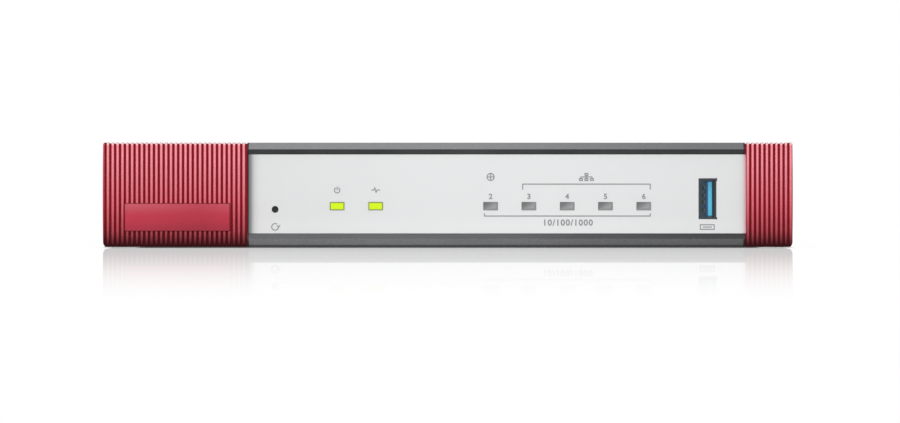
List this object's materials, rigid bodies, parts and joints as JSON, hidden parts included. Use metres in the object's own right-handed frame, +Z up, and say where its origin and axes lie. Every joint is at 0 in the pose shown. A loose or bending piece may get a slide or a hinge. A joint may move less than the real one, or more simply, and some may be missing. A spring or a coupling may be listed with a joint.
{
  "type": "firewall appliance",
  "caption": "Slim desktop firewall: grey metal case, silver front plate with status lamps and an upright USB socket between ribbed red corner caps, network and power sockets at the rear.",
  "frame": {"origin": "centre of the footprint, on the surface that the feet stand on", "axes": "+Z up, front faces -Y, +X to the right of someone who faces the front"},
  "size_m": [0.216, 0.1474, 0.033],
  "materials": {
    "frame_grey": "fine-textured moulded plastic",
    "plate_silver": "satin silver",
    "cap_red": "satin moulded plastic",
    "nameplate_red": "satin moulded plastic",
    "lamp_green": "lit lens",
    "lamp_clear": "unlit clear lens",
    "holder_black": "moulded plastic",
    "lamp_chip": "white chip package",
    "usb_steel": "plated sheet",
    "usb_blue": "moulded plastic",
    "gold": "gold plating",
    "button_black": "moulded plastic",
    "button_grey": "moulded plastic",
    "cover_grey": "powder coat",
    "tray_grey": "powder coat",
    "panel_grey": "powder coat",
    "foot_rubber": "matt rubber",
    "screw_black": "black zinc",
    "screw_steel": "zinc plated",
    "board_green": "solder mask over glass fibre",
    "standoff_brass": "turned brass",
    "chip_black": "moulded package",
    "pad_grey": "soft thermal pad",
    "sink_aluminium": "extruded",
    "pin_black": "nylon",
    "can_aluminium": "drawn can",
    "coil_grey": "sintered ferrite",
    "jack_black": "moulded plastic",
    "shield_steel": "nickel-plated sheet",
    "terminal_brass": "tinned brass",
    "switch_black": "moulded plastic"
  },
  "bodies": {
    "case": {"front_frame": "frame_grey", "faceplate": "plate_silver", "left_ribbed_cap": "cap_red", "right_ribbed_cap": "cap_red", "blank_nameplate": "nameplate_red", "power_light_guide": "lamp_green", "system_light_guide": "lamp_green", "port_light_guides": "lamp_clear", "light_guide_holder": "holder_black", "lamp_chips": "lamp_chip", "reset_switch_body": "button_black", "usb_socket_shell": "usb_steel", "usb_tongue": "usb_blue", "usb_contacts": "gold", "top_cover": "cover_grey", "base_tray": "tray_grey", "rear_panel": "panel_grey", "rubber_feet": "foot_rubber", "side_screws": "screw_black", "rear_screws": "screw_black", "front_screws": "screw_black", "main_board": "board_green", "board_standoffs": "standoff_brass", "board_screws": "screw_steel", "processor": "chip_black", "thermal_pad": "pad_grey", "heat_sink": "sink_aluminium", "heat_sink_pins": "pin_black", "memory_chips": "chip_black", "switch_chip": "chip_black", "flash_chip": "chip_black", "network_transformers": "chip_black", "filter_capacitors": "can_aluminium", "power_inductors": "coil_grey", "lan_socket_housing": "jack_black", "lan_socket_shield": "shield_steel", "lan_socket_contacts": "gold", "wan_socket_housing": "jack_black", "wan_socket_shield": "shield_steel", "wan_socket_contacts": "gold", "console_socket_housing": "jack_black", "console_socket_shield": "shield_steel", "console_socket_contacts": "gold", "sfp_cage": "shield_steel", "sfp_connector": "jack_black", "dc_inlet_housing": "jack_black", "dc_inlet_pin": "terminal_brass", "dc_inlet_contact": "terminal_brass", "power_switch_housing": "switch_black", "power_switch_terminals": "terminal_brass"},
    "reset_button": {"reset_plunger": "button_grey"},
    "power_switch_rocker": {"power_rocker": "switch_black"}
  },
  "joints": [
    {"name": "reset_press", "type": "slide", "parent": "case", "child": "reset_button", "axis": [0, 1, 0], "range_m": [0, 0.0005], "stiffness_N_per_m": 1500, "springref_m": -0.0006},
    {"name": "power_switch_tilt", "type": "hinge", "parent": "case", "child": "power_switch_rocker", "pos_m": [0.076, 0.0689, 0.014], "axis": [0, 0, 1], "range_deg": [0, 20]}
  ]
}
